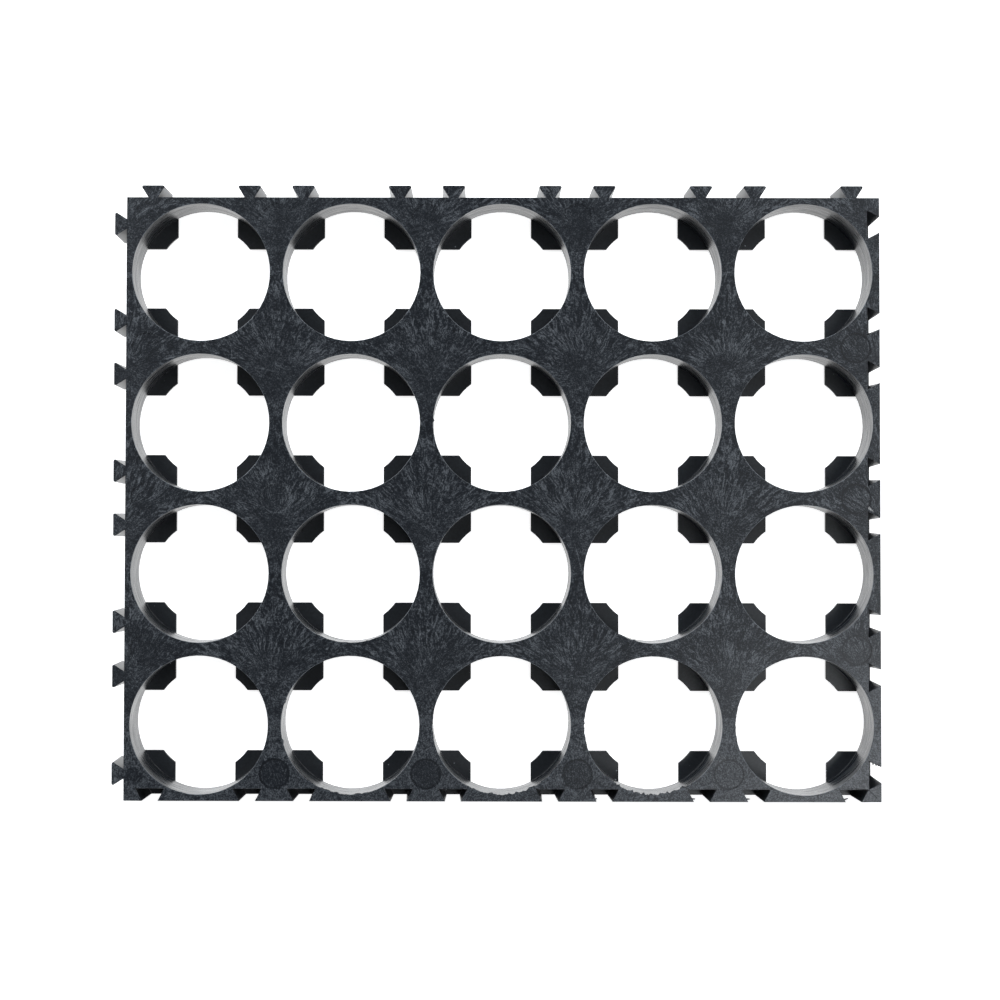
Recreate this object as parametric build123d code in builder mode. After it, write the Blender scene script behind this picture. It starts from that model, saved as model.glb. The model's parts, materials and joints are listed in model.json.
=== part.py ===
"""Battery cell holder bracket: one moulded frame that spaces a block of round cells.

The frame lies on its stop side. Cells enter from above (+Z) and bottom out on corner stops that
reach in under every bore. On the underside the stops are raised octagonal pads, and the straight
channels between the pads carry the connecting strip. Dovetail keys on two sides slide down into
the slots of the next frame, so blocks of any size can be joined.

Units are millimetres. The origin is the centre of the whole footprint, keys included, on the
underside.
"""
import os
from math import radians, tan

from build123d import *

# Cell grid
columns = 5
rows = 4
bore_diameter = 18.5
web_thickness = 1.75  # the thinnest wall between two neighbouring bores

# Frame body
frame_height = 8.0
joining_gap = 0.02  # left between the side walls of two joined frames
grid_offset = 0.1  # the cells stand this far from the body's middle, towards the -X keys

# Pads on the underside, whose corners are the stops under the bores
pad_thickness = 0.6  # the channel floor is level with the cells' ends, so the strip lies flat
stop_reach = 2.19  # how far a stop's tip stands in from the bore wall
strip_channel = 8.2  # width of the channels between the pads

# Dovetail keys on the -X and +Y sides
key_offset = 6.5  # from a cell's centre line to each of its two keys
key_reach = 1.6
key_neck = 1.3
key_tip = 3.35
key_tip_radius = 0.2
key_draft = 0.7  # degrees, wider towards the underside

# Dovetail slots on the +X and -Y sides, sized from the keys
neck_play = 0.4  # each side
tip_play = 0.25  # each side
reach_play = 0.05
slot_floor = 0.4
floor_play = 0.1  # under a key that is fully home
slot_draft = 1.4  # degrees, narrower towards the floor

# Ejector pin marks in the upper face
ejector_diameter = 3.9
ejector_sink = 0.08
ejector_key_offset = 7.35  # from the outer cells' centre lines, on the two key sides
ejector_right_offset = 7.0
ejector_front_offset = 6.45

cell_pitch = bore_diameter + web_thickness
stop_circle = bore_diameter - 2 * stop_reach  # clear circle between the tips of the four stops
body_length = columns * cell_pitch - joining_gap
body_width = rows * cell_pitch - joining_gap
key_height = frame_height - slot_floor - floor_play
slot_depth = key_reach + reach_play
slot_height = frame_height - slot_floor

key_foot_reach = key_reach + key_height * tan(radians(key_draft))  # at the key's lower end

# The keys stick out on one side only, so the body stands off centre by half their reach.
body_x = key_foot_reach / 2
body_y = -key_foot_reach / 2
body_left = body_x - body_length / 2
body_right = body_x + body_length / 2
body_front = body_y - body_width / 2
body_back = body_y + body_width / 2

cell_columns = [body_x - grid_offset + (i - (columns - 1) / 2) * cell_pitch for i in range(columns)]
cell_rows = [body_y + (j - (rows - 1) / 2) * cell_pitch for j in range(rows)]
joint_columns = [x + side * key_offset for x in cell_columns for side in (-1, 1)]
joint_rows = [y + side * key_offset for y in cell_rows for side in (-1, 1)]

mark_columns = [x + cell_pitch / 2 for x in cell_columns[:-1]]
mark_rows = [
    cell_rows[0] - ejector_front_offset,
    cell_rows[(rows - 1) // 2] + cell_pitch / 2,
    cell_rows[-1] + ejector_key_offset,
]
side_mark_columns = [cell_columns[0] - ejector_key_offset, cell_columns[-1] + ejector_right_offset]
side_mark_rows = [y + cell_pitch / 2 for y in cell_rows[:-1]]


def trapezoid(near_width, far_width, reach, overlap):
    """Dovetail outline that widens along +Y from y = 0, with a straight root behind y = 0."""
    Polyline(
        (-near_width / 2, -overlap),
        (near_width / 2, -overlap),
        (near_width / 2, 0),
        (far_width / 2, reach),
        (-far_width / 2, reach),
        (-near_width / 2, 0),
        close=True,
    )


# One key, standing out along +Y from y = 0, with its upper face at the frame's upper face
root_overlap = 0.5  # how far a key or a slot cutter runs past the side wall
with BuildPart() as key:
    with BuildSketch(Plane.XY.offset(frame_height)) as key_outline:
        with BuildLine():
            trapezoid(key_neck, key_tip, key_reach, root_overlap)
        make_face()
        fillet(key_outline.vertices().group_by(Axis.Y)[-1], radius=key_tip_radius)
    extrude(amount=-key_height, taper=-key_draft)

# One slot cutter, reaching in along +Y from the side wall at y = 0
slot_mouth = key_neck + 2 * neck_play
slot_tip = key_tip + 2 * tip_play
draft_loss = 2 * slot_height * tan(radians(slot_draft))
with BuildPart() as slot_cutter:
    with BuildSketch(Plane.XY.offset(frame_height)):
        with BuildLine():
            trapezoid(slot_mouth, slot_tip, slot_depth, root_overlap)
        make_face()
    with BuildSketch(Plane.XY.offset(slot_floor)):
        with BuildLine():
            trapezoid(slot_mouth - draft_loss, slot_tip - draft_loss, slot_depth, root_overlap)
        make_face()
    loft()

# The clear opening between the four stops of one cell
with BuildSketch() as stop_opening:
    Rectangle(strip_channel, bore_diameter)
    Rectangle(bore_diameter, strip_channel)
    Circle(stop_circle / 2)
    Circle(bore_diameter / 2, mode=Mode.INTERSECT)

with BuildPart() as cell_bracket:
    # Solid body
    with BuildSketch():
        with Locations((body_x, body_y)):
            Rectangle(body_length, body_width)
    extrude(amount=frame_height)

    # Cell bores, down to the stops
    with BuildSketch(Plane.XY.offset(pad_thickness)):
        with Locations(*[(x, y) for x in cell_columns for y in cell_rows]):
            Circle(bore_diameter / 2)
    extrude(amount=frame_height - pad_thickness, mode=Mode.SUBTRACT)

    # Openings between the stops
    with BuildSketch():
        with Locations(*[(x, y) for x in cell_columns for y in cell_rows]):
            add(stop_opening.sketch)
    extrude(amount=pad_thickness, mode=Mode.SUBTRACT)

    # Strip channels across the underside, both ways
    with BuildSketch():
        with Locations(*[(body_x, y) for y in cell_rows]):
            Rectangle(body_length, strip_channel)
        with Locations(*[(x, body_y) for x in cell_columns]):
            Rectangle(strip_channel, body_width)
    extrude(amount=pad_thickness, mode=Mode.SUBTRACT)

    # Keys on the back and left sides
    with Locations(*[(x, body_back, 0) for x in joint_columns]):
        add(key.part)
    with Locations(*[Location((body_left, y, 0), (0, 0, 90)) for y in joint_rows]):
        add(key.part)

    # Slots in the front and right sides
    with Locations(*[(x, body_front, 0) for x in joint_columns]):
        add(slot_cutter.part, mode=Mode.SUBTRACT)
    with Locations(*[Location((body_right, y, 0), (0, 0, 90)) for y in joint_rows]):
        add(slot_cutter.part, mode=Mode.SUBTRACT)

    # Ejector marks: a row of them along the middle web, and one beside each web's end
    with BuildSketch(Plane.XY.offset(frame_height)):
        with Locations(*[(x, y) for x in mark_columns for y in mark_rows]):
            Circle(ejector_diameter / 2)
        with Locations(*[(x, y) for x in side_mark_columns for y in side_mark_rows]):
            Circle(ejector_diameter / 2)
    extrude(amount=-ejector_sink, mode=Mode.SUBTRACT)

cell_bracket.part.label = "cell_bracket"
cell_bracket.part.color = Color(0.17, 0.19, 0.22)
os.makedirs("parts", exist_ok=True)
export_step(cell_bracket.part, "parts/cell_bracket.step")
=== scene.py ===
"""Battery cell holder bracket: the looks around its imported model, on a white table under a soft light."""
import json
from math import atan2, cos, degrees, pi, radians, sin
from random import Random

import bmesh
import bpy
from mathutils import Matrix, Vector

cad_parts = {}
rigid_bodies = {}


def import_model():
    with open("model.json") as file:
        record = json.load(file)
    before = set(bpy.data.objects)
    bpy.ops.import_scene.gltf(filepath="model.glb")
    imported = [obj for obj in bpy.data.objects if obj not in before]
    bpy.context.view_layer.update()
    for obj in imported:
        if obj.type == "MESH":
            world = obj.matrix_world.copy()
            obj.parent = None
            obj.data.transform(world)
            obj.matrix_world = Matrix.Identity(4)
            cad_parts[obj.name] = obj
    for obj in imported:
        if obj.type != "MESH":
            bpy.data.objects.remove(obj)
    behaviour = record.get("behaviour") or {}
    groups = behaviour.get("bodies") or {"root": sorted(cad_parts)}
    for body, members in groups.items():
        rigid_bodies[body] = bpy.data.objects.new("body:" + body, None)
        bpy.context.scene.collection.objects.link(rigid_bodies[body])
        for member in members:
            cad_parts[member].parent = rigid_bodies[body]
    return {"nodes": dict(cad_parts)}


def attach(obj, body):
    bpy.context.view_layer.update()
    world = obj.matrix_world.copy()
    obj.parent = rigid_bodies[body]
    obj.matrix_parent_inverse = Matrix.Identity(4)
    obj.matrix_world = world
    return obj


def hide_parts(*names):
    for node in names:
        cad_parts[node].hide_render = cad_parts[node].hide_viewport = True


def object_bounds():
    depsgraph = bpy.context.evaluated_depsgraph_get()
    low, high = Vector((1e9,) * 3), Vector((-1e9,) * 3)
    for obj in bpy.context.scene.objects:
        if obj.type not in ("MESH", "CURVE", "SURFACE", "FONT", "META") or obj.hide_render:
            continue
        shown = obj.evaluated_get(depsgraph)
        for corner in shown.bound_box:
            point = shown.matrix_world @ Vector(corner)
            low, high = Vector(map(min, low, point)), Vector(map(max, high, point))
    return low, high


for leftover in list(bpy.data.objects):
    bpy.data.objects.remove(leftover)
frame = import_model()
cad_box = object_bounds()
scene = bpy.context.scene
MM = 0.001
PLASTIC_IOR = 1.5

# Sizes of the bracket, in millimetres
PITCH = 20.25
COLUMNS, ROWS = 5, 4
HEIGHT = 8.0
JOINING_GAP = 0.02  # between two holders that are joined
GRID_OFFSET = 0.1  # of the cells from the body's middle, towards the keys on the left
BORE_RADIUS = 9.25
BODY_HALF_X = (COLUMNS * PITCH - JOINING_GAP) / 2
BODY_HALF_Y = (ROWS * PITCH - JOINING_GAP) / 2
# The middle of the cells. The body ends at the box's right and front; keys stand past its other sides
GRID_X = cad_box[1].x / MM - BODY_HALF_X - GRID_OFFSET
GRID_Y = cad_box[0].y / MM + BODY_HALF_Y
OUTER_X = (COLUMNS - 1) / 2 * PITCH  # from there to the axes of the outer cells
OUTER_Y = (ROWS - 1) / 2 * PITCH
CELLS_X = [GRID_X + (column - (COLUMNS - 1) / 2) * PITCH for column in range(COLUMNS)]
CELLS_Y = [GRID_Y - (row - (ROWS - 1) / 2) * PITCH for row in range(ROWS)]  # from the back to the front
RIM_ROUND = 0.05  # how far the mould's edges are rounded
MARK_SINK = 0.08  # depth of an ejector mark
MARK_RADIUS = 1.95
FAR = 99.0  # stands for a mark that isn't there


# ---------------------------------------------------------------- materials

def linear(hex_colour):
    """An sRGB hex colour as linear RGBA."""
    parts = [int(hex_colour[i:i + 2], 16) / 255 for i in (1, 3, 5)]
    return (*(c / 12.92 if c <= 0.04045 else ((c + 0.055) / 1.055) ** 2.4 for c in parts), 1.0)


def node(tree, kind, *inputs, out=0, **settings):
    """Adds a node, sets its properties and inputs, links what is a socket, and returns one output."""
    n = tree.nodes.new(kind)
    ramp = settings.pop("ramp", None)
    named = settings.pop("named", {})
    for key, value in settings.items():
        setattr(n, key, value)
    for key, value in [*enumerate(inputs), *named.items()]:
        if isinstance(value, bpy.types.NodeSocket):
            tree.links.new(value, n.inputs[key])
        else:
            n.inputs[key].default_value = value
    if ramp:
        bar = n.color_ramp.elements
        while len(bar) < len(ramp):
            bar.new(0.5)
        for stop, (place, colour) in zip(bar, ramp):
            stop.position = place
            stop.color = colour
    return n.outputs[out] if n.outputs and out is not None else n


def new_material(name):
    """An empty material and its node tree."""
    material = bpy.data.materials.new(name)
    material.use_nodes = True
    material.node_tree.nodes.clear()
    return material, material.node_tree


def plastic(name, shade, relief, roughness):
    """Moulded plastic; shade and relief are functions that build its colour and height on mm coordinates."""
    material, t = new_material(name)
    place = node(t, "ShaderNodeTexCoord", out=3)  # object coordinates
    mm = node(t, "ShaderNodeVectorMath", place, operation="SCALE", named={"Scale": 1 / MM})
    colour = shade(t, mm)
    height, strength, distance = relief(t, mm)
    bump = node(
        t, "ShaderNodeBump", named={"Strength": strength, "Distance": distance * MM, "Height": height},
    )
    rough = roughness(t, mm) if callable(roughness) else roughness
    shader = node(
        t, "ShaderNodeBsdfPrincipled",
        named={"Base Color": colour, "Roughness": rough, "IOR": PLASTIC_IOR, "Normal": bump},
    )
    node(t, "ShaderNodeOutputMaterial", shader)
    return material


FAN_DROP = 4.6  # below each junction's centre lies the web that the plastic came out of
FAN_LUCK = 2.4  # how far apart two fans' sources can be thrown
FAN_WANDER = 1.8  # how far the flow is bent off its way
FAN_NEAR = (1.5, 3.5)  # between these distances from its source a fan sets in
FAN_OPEN = (1.2, 1.9)  # between these angles off its axis, in radians, it gives way to curls
FIBRE_LONG = 3.2
FIBRE_TURN = 0.075  # radians: the fibres are 0.3 to 0.7 mm apart over most of a fan
INSERT_TOP = GRID_Y - 29.25  # below this line the mould face is an insert with a sandy finish
INSERT_CORNER = (GRID_X + 32.1, GRID_Y - 22.0)  # all that is right of and in front of it is insert too
MARK_LINE = 0.16
MARK_FADE = 0.1  # width of the soft edge inside a mark and round the stain
# How much each differs from the face, in shares of the scale from its darkest to its lightest colour
# The dark line of a mark's ring is painted shade of the low step round the mark
RING_SHADE_TONE, INNER_RING_TONE = 0.38, 0.2
DISC_TONE, POLISHED_DISC_TONE = 0.04, 0.2
STAIN_TONE = 0.18
STAIN_PLACE = (GRID_X - 49.1, GRID_Y - 37.15)
STAIN_RADIUS = 1.25
SCRATCH_WIDE = 0.16
SCRATCH_TONE = 0.4
# X and Y of the middle, angle from +X in degrees, length
SCRATCHES = (
    (GRID_X + 10.34, GRID_Y - 8.22, 105, 4.15),
    (GRID_X - 36.3, GRID_Y + 19.5, 90, 1.6),
    (GRID_X - 35.7, GRID_Y + 18.8, 0, 1.2),
    (GRID_X - 48.35, GRID_Y + 38.5, 35, 2.4),
)
# Y of the rows of marks that lie between two columns, and X of the marks that lie between two rows
MARK_ROWS = (GRID_Y - OUTER_Y - 6.45, GRID_Y, GRID_Y + OUTER_Y + 7.35)
MARK_SIDES = (GRID_X - OUTER_X - 7.35, GRID_X + OUTER_X + 7.0)


def fan_place(t, mm):
    """Distance and angle from the web that a junction was filled through, and its own random colour."""
    swirl = node(t, "ShaderNodeTexNoise", mm, out=1, named={"Scale": 0.3, "Detail": 3.5, "Roughness": 0.55})
    push = node(t, "ShaderNodeVectorMath", swirl, (0.5, 0.5, 0.5), operation="SUBTRACT")
    push = node(t, "ShaderNodeVectorMath", push, operation="SCALE", named={"Scale": FAN_WANDER})
    bent = node(t, "ShaderNodeVectorMath", mm, push, operation="ADD")
    grid = node(
        t, "ShaderNodeVectorMath", bent, (1 / PITCH, 1 / PITCH, 0),
        (-GRID_X / PITCH, -GRID_Y / PITCH + 0.5, 0), operation="MULTIPLY_ADD",
    )
    whole = node(t, "ShaderNodeVectorMath", grid, operation="FLOOR")
    part = node(t, "ShaderNodeVectorMath", grid, operation="FRACTION")
    luck = node(t, "ShaderNodeTexWhiteNoise", whole, out=1, noise_dimensions="2D")
    middle = -PITCH / 2 - FAN_LUCK / 2
    source = node(
        t, "ShaderNodeVectorMath", luck, (FAN_LUCK, FAN_LUCK, 0), (middle, middle + FAN_DROP, 0),
        operation="MULTIPLY_ADD",
    )
    reach = node(t, "ShaderNodeVectorMath", part, (PITCH, PITCH, 0), source, operation="MULTIPLY_ADD")
    axes = node(t, "ShaderNodeSeparateXYZ", reach, out=None)
    angle = node(t, "ShaderNodeMath", axes.outputs[0], axes.outputs[1], operation="ARCTAN2")
    distance = node(t, "ShaderNodeVectorMath", reach, operation="LENGTH", out=1)
    return distance, angle, luck


def thin_lines(t, place, half_width, **pattern):
    """Thin winding lines, 1 on a line and 0 off it: where a noise passes its own middle."""
    level = node(t, "ShaderNodeTexNoise", place, named=pattern)
    off_line = node(t, "ShaderNodeMath", level, 0.5, operation="SUBTRACT")
    off_line = node(t, "ShaderNodeMath", off_line, operation="ABSOLUTE")
    return node(t, "ShaderNodeMapRange", off_line, 0.0, half_width, 1.0, 0.0)


def flow_marks(t, mm):
    """The light marks of the flow, long fibres in the fans and curls elsewhere, and the fans' own axes."""
    distance, angle, luck = fan_place(t, mm)
    along = node(t, "ShaderNodeMath", distance, 1 / FIBRE_LONG, operation="MULTIPLY")
    across = node(t, "ShaderNodeMath", angle, 1 / FIBRE_TURN, operation="MULTIPLY")
    shift = node(t, "ShaderNodeVectorMath", luck, operation="SCALE", named={"Scale": 90.0})
    fan = node(t, "ShaderNodeCombineXYZ", along, across, 0.0)
    fan = node(t, "ShaderNodeVectorMath", fan, shift, operation="ADD")
    fibres = thin_lines(t, fan, 0.1, Scale=1.0, Detail=2.0, Roughness=0.6, Distortion=0.3)
    curls = thin_lines(t, mm, 0.08, Scale=1.5, Detail=2.0, Distortion=1.4)
    off_axis = node(t, "ShaderNodeMath", angle, operation="ABSOLUTE")
    ahead = node(t, "ShaderNodeMapRange", off_axis, *FAN_OPEN, 1.0, 0.15)
    begun = node(t, "ShaderNodeMapRange", distance, *FAN_NEAR, 0.0, 1.0)
    in_fan = node(t, "ShaderNodeMath", begun, ahead, operation="MULTIPLY")
    return node(t, "ShaderNodeMix", in_fan, named={2: curls, 3: fibres}), fan


def on_insert(t, mm):
    """1 on the sandy insert, along the front and in its corner on the right, and 0 on the rest."""
    axes = node(t, "ShaderNodeSeparateXYZ", mm, out=None)
    front = node(t, "ShaderNodeMath", axes.outputs[1], INSERT_TOP, operation="LESS_THAN")
    right_of = node(t, "ShaderNodeMath", axes.outputs[0], INSERT_CORNER[0], operation="GREATER_THAN")
    below = node(t, "ShaderNodeMath", axes.outputs[1], INSERT_CORNER[1], operation="LESS_THAN")
    corner = node(t, "ShaderNodeMath", right_of, below, operation="MULTIPLY")
    return node(t, "ShaderNodeMath", front, corner, operation="MAXIMUM")


def mark_distance(t, mm):
    """Distance in mm from the middle of the nearest ejector mark."""
    axes = node(t, "ShaderNodeSeparateXYZ", mm, out=None)
    x, y = axes.outputs[0], axes.outputs[1]
    nearest = FAR
    for coordinate, places, other, middle, outer, first in (
        (y, MARK_ROWS, x, GRID_X, OUTER_X, GRID_X + PITCH / 2),
        (x, MARK_SIDES, y, GRID_Y, OUTER_Y, GRID_Y),
    ):
        beside = node(t, "ShaderNodeMath", other, first, operation="SUBTRACT")
        beside = node(t, "ShaderNodeMath", beside, PITCH / 2, -PITCH / 2, operation="WRAP")
        off_middle = node(t, "ShaderNodeMath", other, middle, operation="SUBTRACT")
        off_middle = node(t, "ShaderNodeMath", off_middle, operation="ABSOLUTE")
        past = node(t, "ShaderNodeMath", off_middle, outer, operation="GREATER_THAN")
        past = node(t, "ShaderNodeMath", past, FAR, operation="MULTIPLY")
        for place in places:
            off = node(t, "ShaderNodeMath", coordinate, place, operation="SUBTRACT")
            flat = node(t, "ShaderNodeCombineXYZ", off, beside, past)
            reach = node(t, "ShaderNodeVectorMath", flat, operation="LENGTH", out=1)
            nearest = node(t, "ShaderNodeMath", reach, nearest, operation="MINIMUM")
    return nearest


def scratch_mark(t, mm, x, y, turn, length):
    """A fine straight scratch, lighter than the plastic."""
    along = node(
        t, "ShaderNodeMapping", mm, (x, y, HEIGHT), (0, 0, radians(turn)),
        (length / 2, SCRATCH_WIDE / 2, 1.0), vector_type="TEXTURE",
    )
    off = node(t, "ShaderNodeVectorMath", along, operation="ABSOLUTE")
    axes = node(t, "ShaderNodeSeparateXYZ", off, out=None)
    reach = node(t, "ShaderNodeMath", axes.outputs[0], axes.outputs[1], operation="MAXIMUM")
    return node(t, "ShaderNodeMapRange", reach, 0.6, 1.2, SCRATCH_TONE, 0.0)


def mark_shades(t, mm):
    """What the ring round an ejector mark and the disc inside it take off the face's tone; the ring's dark
    line is painted shade of the mark's low step.
    """
    reach = mark_distance(t, mm)
    axes = node(t, "ShaderNodeSeparateXYZ", mm, out=None)
    x, y = axes.outputs[0], axes.outputs[1]
    off_ring = node(t, "ShaderNodeMath", reach, MARK_RADIUS, operation="SUBTRACT")
    off_ring = node(t, "ShaderNodeMath", off_ring, operation="ABSOLUTE")
    line = node(t, "ShaderNodeMapRange", off_ring, MARK_LINE / 2, MARK_LINE, 1.0, 0.0)
    in_front = node(t, "ShaderNodeMath", y, INSERT_TOP, operation="LESS_THAN")
    on_right = node(t, "ShaderNodeMath", x, GRID_X + OUTER_X, operation="GREATER_THAN")
    slotted = node(t, "ShaderNodeMath", in_front, on_right, operation="MAXIMUM")
    slotted = node(t, "ShaderNodeMath", slotted, RING_SHADE_TONE, operation="MULTIPLY")
    # The rings of the inner marks are lighter than the face, not darker; the dark ring of the others is
    # painted shade
    across = node(t, "ShaderNodeMath", x, GRID_X, OUTER_X, operation="COMPARE")
    along = node(t, "ShaderNodeMath", y, GRID_Y, PITCH / 2, operation="COMPARE")
    inner = node(t, "ShaderNodeMath", across, along, operation="MULTIPLY")
    inner = node(t, "ShaderNodeMath", inner, INNER_RING_TONE, operation="MULTIPLY")
    tone = node(t, "ShaderNodeMath", slotted, inner, operation="SUBTRACT")
    line = node(t, "ShaderNodeMath", line, tone, operation="MULTIPLY")
    on_left = node(t, "ShaderNodeMath", x, GRID_X + PITCH, operation="LESS_THAN")
    polished = node(t, "ShaderNodeMath", in_front, on_left, operation="MULTIPLY")
    tone = node(t, "ShaderNodeMapRange", polished, 0.0, 1.0, DISC_TONE, POLISHED_DISC_TONE)
    disc = node(t, "ShaderNodeMapRange", reach, MARK_RADIUS, MARK_RADIUS - MARK_FADE, 0.0, 1.0)
    return line, node(t, "ShaderNodeMath", disc, tone, operation="MULTIPLY")


def face_shade(t, mm):
    """Light fibres on dark plastic, a sandy finish on the insert, and the outlines of the ejector marks,
    whose dark line is painted shade of their low step.
    """
    fibres, fan = flow_marks(t, mm)
    # The fibres come and go in patches
    patches = node(t, "ShaderNodeTexNoise", mm, named={"Scale": 0.45, "Detail": 3.0, "Roughness": 0.6})
    strength = node(t, "ShaderNodeMapRange", patches, 0.38, 0.6, 0.12, 0.57)
    fibrous = node(t, "ShaderNodeMath", fibres, strength, operation="MULTIPLY")
    fibrous = node(t, "ShaderNodeMath", fibrous, 0.2, operation="ADD")
    sandy = node(t, "ShaderNodeTexNoise", mm, named={"Scale": 1.1, "Detail": 2.0})
    sandy = node(t, "ShaderNodeMapRange", sandy, 0.3, 0.7, 0.4, 0.54)
    level = node(t, "ShaderNodeMix", on_insert(t, mm), named={2: fibrous, 3: sandy})
    # The real grain is about 0.1 mm. It is drawn at 0.16 mm so that it shows, and along the flow in the fans
    grain = node(t, "ShaderNodeTexNoise", mm, named={"Scale": 6.2, "Detail": 1.0, "Roughness": 0.7})
    combed = node(t, "ShaderNodeVectorMath", fan, (8.0, 4.6, 1.0), operation="MULTIPLY")
    combed = node(t, "ShaderNodeTexNoise", combed, named={"Scale": 1.0, "Detail": 1.0, "Roughness": 0.7})
    grain = node(t, "ShaderNodeMix", 0.45, named={2: grain, 3: combed})
    grain = node(t, "ShaderNodeMapRange", grain, 0.35, 0.65, -0.44, 0.44)
    level = node(t, "ShaderNodeMath", level, grain, operation="ADD")
    stain = node(t, "ShaderNodeVectorMath", mm, (*STAIN_PLACE, HEIGHT), operation="DISTANCE", out=1)
    stain = node(t, "ShaderNodeMapRange", stain, STAIN_RADIUS - MARK_FADE, STAIN_RADIUS, STAIN_TONE, 0.0)
    for dark in (*mark_shades(t, mm), stain):
        level = node(t, "ShaderNodeMath", level, dark, operation="SUBTRACT")
    for scratch in SCRATCHES:
        level = node(t, "ShaderNodeMath", level, scratch_mark(t, mm, *scratch), operation="ADD")
    return node(
        t, "ShaderNodeValToRGB", level,
        ramp=[(0.0, linear("#090D13")), (0.3, linear("#11171E")), (1.0, linear("#5C6065"))],
    )


def face_relief(t, mm):
    """A fine, shallow grain: height, strength, and its depth in mm."""
    grain = node(t, "ShaderNodeTexNoise", mm, named={"Scale": 3.0, "Detail": 4.0})
    return grain, 0.15, 0.02


def drawn_lines(t, mm):
    """Lines round the bore, left by the mould's turned core pins."""
    drawn = node(t, "ShaderNodeMapping", mm, named={"Scale": (0.22, 0.22, 2.0)})
    return node(t, "ShaderNodeTexNoise", drawn, named={"Scale": 1.0, "Detail": 4.0, "Roughness": 0.65})


def wall_relief(t, mm):
    """The drawn lines, deeper than the grain of the face: height, strength, and depth in mm."""
    return drawn_lines(t, mm), 0.22, 0.05


def wall_shade(t, mm):
    """Dark plastic, a little lighter along the drawn lines."""
    return node(
        t, "ShaderNodeValToRGB", drawn_lines(t, mm),
        ramp=[(0.3, linear("#101418")), (0.5, linear("#181C21")), (0.72, linear("#2B3036"))],
    )


def wall_roughness(t, mm):
    """Glossy and matt streaks along the drawn lines."""
    return node(t, "ShaderNodeMapRange", drawn_lines(t, mm), 0.3, 0.7, 0.16, 0.42)


def pad_shade(t, mm):
    """Even dark plastic with a speck of dust here and there."""
    cells = node(t, "ShaderNodeTexVoronoi", mm, out=None, named={"Scale": 0.9})
    luck = node(t, "ShaderNodeSeparateColor", cells.outputs["Color"])
    chance = node(t, "ShaderNodeMath", luck, 0.82, operation="GREATER_THAN")
    dust = node(t, "ShaderNodeMapRange", cells.outputs["Distance"], 0.05, 0.12, 1.0, 0.0)
    dust = node(t, "ShaderNodeMath", dust, chance, operation="MULTIPLY")
    grain = node(t, "ShaderNodeTexNoise", mm, named={"Scale": 3.0, "Detail": 2.0})
    grain = node(t, "ShaderNodeMapRange", grain, 0.3, 0.7, 0.05, 0.4)
    level = node(t, "ShaderNodeMath", grain, dust, operation="ADD")
    return node(
        t, "ShaderNodeValToRGB", level,
        ramp=[(0.0, linear("#191C20")), (0.5, linear("#272B30")), (1.0, linear("#8A9096"))],
    )


def rim_painted_highlight(t, mm):
    """Dark plastic lightened in patches: a painted highlight for the light that the rounded rims catch."""
    rim_highlight_patches = node(t, "ShaderNodeTexNoise", mm, named={"Scale": 0.9, "Detail": 3.0})
    return node(t, "ShaderNodeValToRGB", rim_highlight_patches, ramp=[(0.35, linear("#2A2F35")), (0.65, linear("#6C737B"))])


# Black ABS of the upper face: satin and finely grained, with the light streaks of the flow in it
face_plastic = plastic("moulded_abs_flow_marked", face_shade, face_relief, 0.28)
# The same in the bores, drawn off the core pins: glossy, so it mirrors the white table in level streaks
wall_plastic = plastic("moulded_abs_drawn_wall", wall_shade, wall_relief, wall_roughness)
# The same on the stops and the outer walls: dark and even, with single specks of dust
pad_plastic = plastic("moulded_abs_smooth_pad", pad_shade, face_relief, 0.3)
# The same at the rounded rims of the bores, lightened in patches: a painted highlight for the light that the
# rims catch
rim_plastic_painted_highlight = plastic("moulded_abs_rim_painted_highlight", rim_painted_highlight, face_relief, 0.35)
MATERIALS = (face_plastic, wall_plastic, pad_plastic, rim_plastic_painted_highlight)
FACE, WALL, PAD, RIM = range(len(MATERIALS))

# ---------------------------------------------------------------- bracket

WELD = 0.001  # mm
FLAT_ANGLE = 0.5  # degrees: what turns less is one flat face
EDGE_ANGLE = 25  # degrees: what turns more is an edge of the mould, and is rounded
SHARP_ANGLE = 32  # degrees: what turns more after that is shaded as sharp

bracket_mesh = bpy.data.meshes.new("bracket")
bm = bmesh.new()
bm.from_mesh(frame["nodes"]["cell_bracket"].data)
bmesh.ops.remove_doubles(bm, verts=bm.verts, dist=WELD * MM)
bmesh.ops.dissolve_limit(bm, angle_limit=radians(FLAT_ANGLE), verts=bm.verts, edges=bm.edges)


def is_mark_step(face):
    """True for the low wall round an ejector mark, which is too low to be rounded."""
    heights = [v.co.z / MM for v in face.verts]
    return min(heights) > HEIGHT - 2 * MARK_SINK and abs(face.normal.z) < 0.5


rims = [
    edge for edge in bm.edges
    if edge.is_manifold and edge.calc_face_angle(0) > radians(EDGE_ANGLE)
    and not any(is_mark_step(face) for face in edge.link_faces)
]
bmesh.ops.bevel(
    bm, geom=rims, offset=RIM_ROUND * MM, offset_type="OFFSET", affect="EDGES", segments=3,
    profile=0.5, material=-1, clamp_overlap=False,
)


def near_bore(point, reach):
    """True within that reach of a cell's axis, in mm."""
    off_x = min(abs(point.x / MM - x) for x in CELLS_X)
    off_y = min(abs(point.y / MM - y) for y in CELLS_Y)
    return off_x ** 2 + off_y ** 2 < reach ** 2


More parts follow.
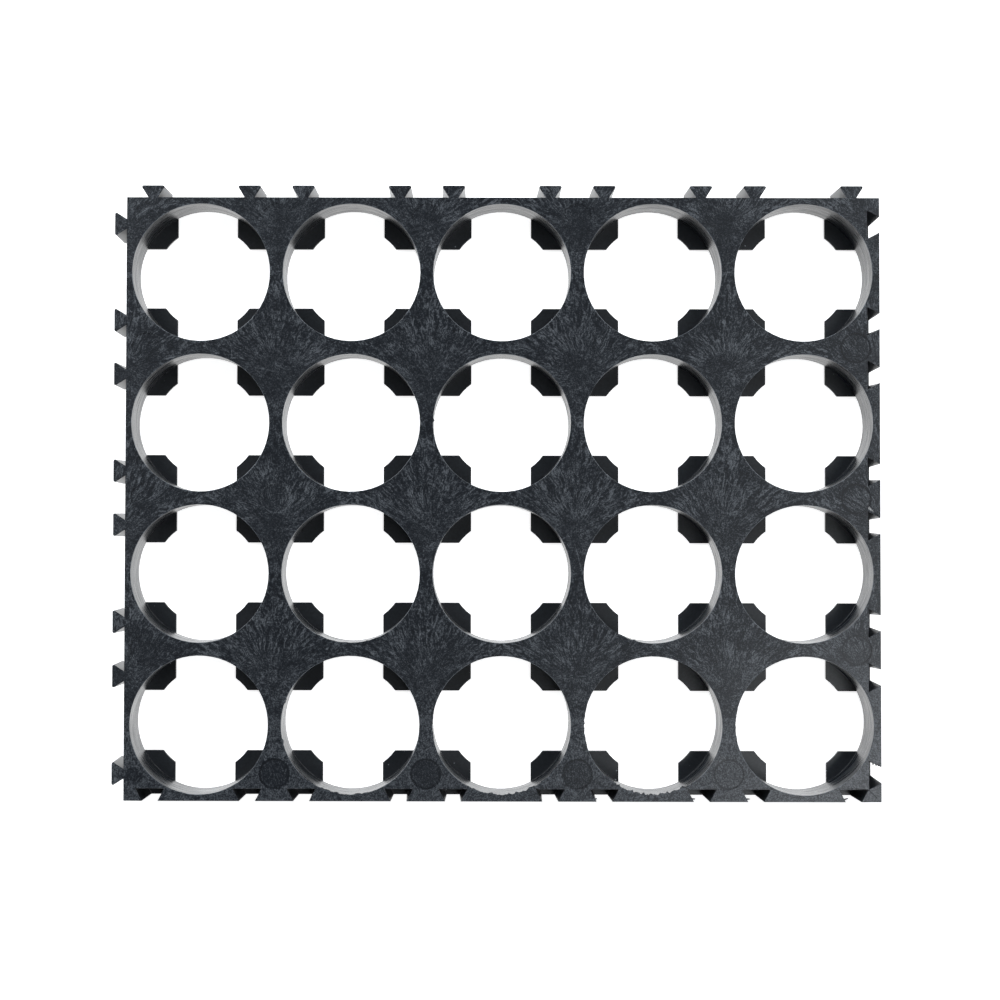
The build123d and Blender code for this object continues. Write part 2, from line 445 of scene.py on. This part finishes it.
for face in bm.faces:
    middle = face.calc_center_median()
    height = middle.z / MM
    up = face.normal.z
    face.smooth = True
    # The rounded rims of the bores take the plastic with the painted highlight
    if 0.15 < up < 0.98 and height > HEIGHT - 2 * RIM_ROUND and near_bore(middle, BORE_RADIUS + 0.2):
        face.material_index = RIM
    elif height > HEIGHT - 2 * MARK_SINK and up > 0.3:
        face.material_index = FACE
    elif abs(up) < 0.5 and near_bore(middle, BORE_RADIUS + RIM_ROUND):
        face.material_index = WALL
    else:
        face.material_index = PAD
bm.to_mesh(bracket_mesh)
bm.free()
bracket_mesh.set_sharp_from_angle(angle=radians(SHARP_ANGLE))
bracket = bpy.data.objects.new("bracket", bracket_mesh)
scene.collection.objects.link(bracket)
for material in MATERIALS:
    bracket_mesh.materials.append(material)
shading = bracket.modifiers.new("flat faces, round rims", "WEIGHTED_NORMAL")
shading.mode = "FACE_AREA"
shading.weight = 60
shading.keep_sharp = True
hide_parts("cell_bracket")
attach(bracket, "root")

# ---------------------------------------------------------------- moulding flash

FLASH_THICK = 0.06
FLASH_ROOT = 0.12  # how far the film reaches into the wall that it grows from
FLASH_SUNK = 0.004  # its top lies this far under the face
TOOTH_TURN = 1.0  # degrees round the bore between two teeth of the torn edge
TEETH_TO_A_TEAR = 2
TEAR_SHARE, RAG_SHARE = 0.8, 0.3  # of the reach: in the slow waves of the torn edge, and in its single teeth
ENDS_FADE = 0.4  # power by which a film runs out at its two ends: the smaller, the blunter
HOOK_LONG = 0.35  # how far it stands out; as much again lies in the plastic
HOOK_RADIUS = 0.15  # radius at its root; its tip is half as thick
HOOK_SIDES = 6
FLASH_SEED = 7

# Column from the left and row from the back of the bore, first and last angle round it in degrees from
# the front towards +X, reach
FLASH = (
    (3, 3, -44, -16, 0.85),
    (3, 3, -18, 36, 0.55),
    (2, 3, -36, 60, 0.36),
    (1, 3, -38, 18, 0.30),
    (0, 3, -28, -10, 0.16),
    (4, 3, -105, -78, 0.14),
    (3, 3, -108, -70, 0.14),
    (2, 3, -104, -74, 0.12),
    (3, 2, -44, -6, 0.16),
    (1, 2, -30, 25, 0.12),
    (1, 3, -113, -108, 0.55),
    (1, 3, -79, -74, 0.65),
    (2, 1, -94, -90, 0.30),
)
# Where an edge is drawn out into a hook: X and Y from the middle of the cells, direction in degrees
HOOKS = (
    (12.4, -40.1, 0), (25.5, -40.1, 0), (32.8, -40.1, 0), (45.9, -40.1, 20),
    (49.6, -35.2, -90), (49.95, -35.3, -80), (50.3, -35.35, -90),
)


def add_flash(bm, column, row, first, last, reach, draw):
    """A thin film with a torn edge that stands into a bore from its rim."""
    made = len(bm.verts)
    root = bm.verts.new((0, -BORE_RADIUS - FLASH_ROOT, 0))
    tip = bm.verts.new((0, -BORE_RADIUS, 0))
    edge = bm.edges.new((root, tip))
    bmesh.ops.rotate(
        bm, verts=(root, tip), cent=(0, 0, 0), matrix=Matrix.Rotation(radians(first), 3, "Z"),
    )
    steps = round((last - first) / TOOTH_TURN)
    bmesh.ops.spin(
        bm, geom=(root, tip, edge), cent=(0, 0, 0), axis=(0, 0, 1), angle=radians(last - first), steps=steps,
    )
    bm.verts.ensure_lookup_table()
    film = bm.verts[made:]
    tears = [draw.random() for _ in range(steps // TEETH_TO_A_TEAR + 2)]
    for vertex in film:
        if vertex.co.length > BORE_RADIUS + FLASH_ROOT / 2:
            continue
        tooth = (degrees(atan2(vertex.co.x, -vertex.co.y)) - first) / TOOTH_TURN
        tear, rest = divmod(max(tooth, 0), TEETH_TO_A_TEAR)
        share = rest / TEETH_TO_A_TEAR
        slow = tears[int(tear)] * (1 - share) + tears[int(tear) + 1] * share
        fade = max(sin(pi * tooth / steps), 0) ** ENDS_FADE
        depth = reach * fade * (TEAR_SHARE * slow ** 2 + RAG_SHARE * draw.random() ** 2)
        vertex.co *= 1 - depth / BORE_RADIUS
    skin = list({face for vertex in film for face in vertex.link_faces})
    bmesh.ops.solidify(bm, geom=skin, thickness=FLASH_THICK)
    bm.verts.ensure_lookup_table()
    place = Vector((CELLS_X[column], CELLS_Y[row], HEIGHT - FLASH_SUNK))
    top = max(vertex.co.z for vertex in bm.verts[made:])
    bmesh.ops.translate(bm, verts=bm.verts[made:], vec=place - Vector((0, 0, top)))


def add_hook(bm, x, y, turn):
    """A drawn-out burr that lies just under the upper face."""
    place = Matrix.Translation((GRID_X + x, GRID_Y + y, HEIGHT - HOOK_RADIUS))
    lie = place @ Matrix.Rotation(radians(turn), 4, "Z") @ Matrix.Rotation(pi / 2, 4, "Y")
    bmesh.ops.create_cone(
        bm, cap_ends=True, segments=HOOK_SIDES, radius1=HOOK_RADIUS, radius2=HOOK_RADIUS / 2,
        depth=2 * HOOK_LONG, matrix=lie,
    )


bm = bmesh.new()
draw = Random(FLASH_SEED)
for film in FLASH:
    add_flash(bm, *film, draw)
for hook in HOOKS:
    add_hook(bm, *hook)
bmesh.ops.recalc_face_normals(bm, faces=bm.faces)
bmesh.ops.scale(bm, verts=bm.verts, vec=(MM, MM, MM))
flash_mesh = bpy.data.meshes.new("rim_flash")
bm.to_mesh(flash_mesh)
bm.free()
flash_mesh.materials.append(face_plastic)
rim_flash = bpy.data.objects.new("rim_flash", flash_mesh)
scene.collection.objects.link(rim_flash)
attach(rim_flash, "root")

# ---------------------------------------------------------------- table, light and camera

ROOM = 0.02  # strength of the dark studio's own light
BACKDROP_TOP = 0.45  # sine of the height up to which the white backdrop reaches
LAMP_COLOUR = (0.94, 0.97, 1.0)
LAMP_DISTANCE = 0.7
TABLE_HALF = 1.5
TABLE_GREY = 0.9
TABLE_GLOW = 0.85
WHITE = (1.0, 1.0, 1.0, 1.0)

# White paper with a glow that only the eye and glossy surfaces see, so that it doesn't light the plastic
table_material, t = new_material("white_table")
paths = node(t, "ShaderNodeLightPath", out=None)
seen = node(
    t, "ShaderNodeMath", paths.outputs["Is Camera Ray"], paths.outputs["Is Glossy Ray"], operation="MAXIMUM",
)
seen = node(t, "ShaderNodeMath", seen, paths.outputs["Is Transmission Ray"], operation="MAXIMUM")
paper = node(t, "ShaderNodeBsdfDiffuse", (TABLE_GREY, TABLE_GREY, TABLE_GREY, 1.0))
glow = node(t, "ShaderNodeEmission", WHITE, TABLE_GLOW)
both = node(t, "ShaderNodeAddShader", paper, glow)
node(t, "ShaderNodeOutputMaterial", node(t, "ShaderNodeMixShader", seen, paper, both))

floor_mesh = bpy.data.meshes.new("table")
bm = bmesh.new()
bmesh.ops.create_grid(bm, x_segments=1, y_segments=1, size=TABLE_HALF)
bm.to_mesh(floor_mesh)
bm.free()
floor_mesh.materials.append(table_material)
floor = bpy.data.objects.new("table", floor_mesh)
scene.collection.objects.link(floor)

# A dark room that is white all round to the eye, and white up to BACKDROP_TOP in what is glossy
world = bpy.data.worlds.new("studio")
scene.world = world
world.use_nodes = True
t = world.node_tree
t.nodes.clear()
paths = node(t, "ShaderNodeLightPath", out=None)
room = node(t, "ShaderNodeBackground", (*LAMP_COLOUR, 1.0), ROOM)
white = node(t, "ShaderNodeBackground", WHITE, 1.0)
direction = node(t, "ShaderNodeSeparateXYZ", node(t, "ShaderNodeTexCoord"), out=None)
backdrop = node(t, "ShaderNodeMath", direction.outputs[2], BACKDROP_TOP, operation="LESS_THAN")
mirrored = node(
    t, "ShaderNodeMath", paths.outputs["Is Glossy Ray"], paths.outputs["Is Transmission Ray"],
    operation="MAXIMUM",
)
mirrored = node(t, "ShaderNodeMath", mirrored, backdrop, operation="MULTIPLY")
seen = node(t, "ShaderNodeMath", paths.outputs["Is Camera Ray"], mirrored, operation="MAXIMUM")
node(t, "ShaderNodeOutputWorld", node(t, "ShaderNodeMixShader", seen, room, white))

# Name, way round from +X and tilt off the vertical in degrees, side in metres, watts
LAMPS = (
    ("left_high", 135, 62, 0.30, 2.42),
    ("right_high", 45, 42, 0.30, 2.42),
    ("left_low", 135, 42, 0.30, 1.86),
    ("near_corner", 315, 24, 0.20, 0.69),
    ("right_edge", 0, 24, 0.20, 0.22),
    ("left_edge", 180, 24, 0.20, 0.11),
)
for name, around, tilt, side, power in LAMPS:
    lamp = bpy.data.lights.new(name, "AREA")
    lamp.shape = "RECTANGLE"
    lamp.size = lamp.size_y = side
    lamp.energy = power
    lamp.color = LAMP_COLOUR
    reach = LAMP_DISTANCE * sin(radians(tilt))
    place = Vector((
        reach * cos(radians(around)), reach * sin(radians(around)), LAMP_DISTANCE * cos(radians(tilt)),
    ))
    holder = bpy.data.objects.new(name, lamp)
    holder.location = place
    holder.rotation_mode = "QUATERNION"
    holder.rotation_quaternion = (-place).to_track_quat("-Z", "Y")
    scene.collection.objects.link(holder)

# The camera looks down almost square to the plate. Its axes are given in the plate's own right, front and
# down directions, and CAMERA_OFFSET is where the middle of the cells lies from it along its axes, in mm
right, down, ahead = (Vector(r) for r in (
    (0.999994, -0.001711, 0.002859),
    (0.001627, 0.999576, 0.029062),
    (-0.002907, -0.029058, 0.999574),
))
CAMERA_OFFSET = Vector((5.34625, 3.19336, 277.34724))
FOCAL = 2069.4 / 1000  # in widths of the sensor
SENSOR = 36.0
CAMERA_SHIFT = (0.03805, -0.02553)


def to_frame(v):
    """From the plate's own right, front and down directions to the row frame."""
    return Vector((v.x, -v.y, -v.z))


eye = -(Matrix((right, down, ahead)).transposed() @ CAMERA_OFFSET)
camera_data = bpy.data.cameras.new("camera")
camera_data.sensor_width = SENSOR
camera_data.lens = FOCAL * SENSOR
camera_data.shift_x, camera_data.shift_y = CAMERA_SHIFT
camera_data.clip_start, camera_data.clip_end = 0.01, 10
camera = bpy.data.objects.new("camera", camera_data)
axes = Matrix((to_frame(right), -to_frame(down), -to_frame(ahead))).transposed()
camera.matrix_world = Matrix.LocRotScale(
    (to_frame(eye) + Vector((GRID_X, GRID_Y, HEIGHT))) * MM, axes.to_quaternion(), None,
)
scene.collection.objects.link(camera)
scene.camera = camera

scene.view_settings.view_transform = "Standard"
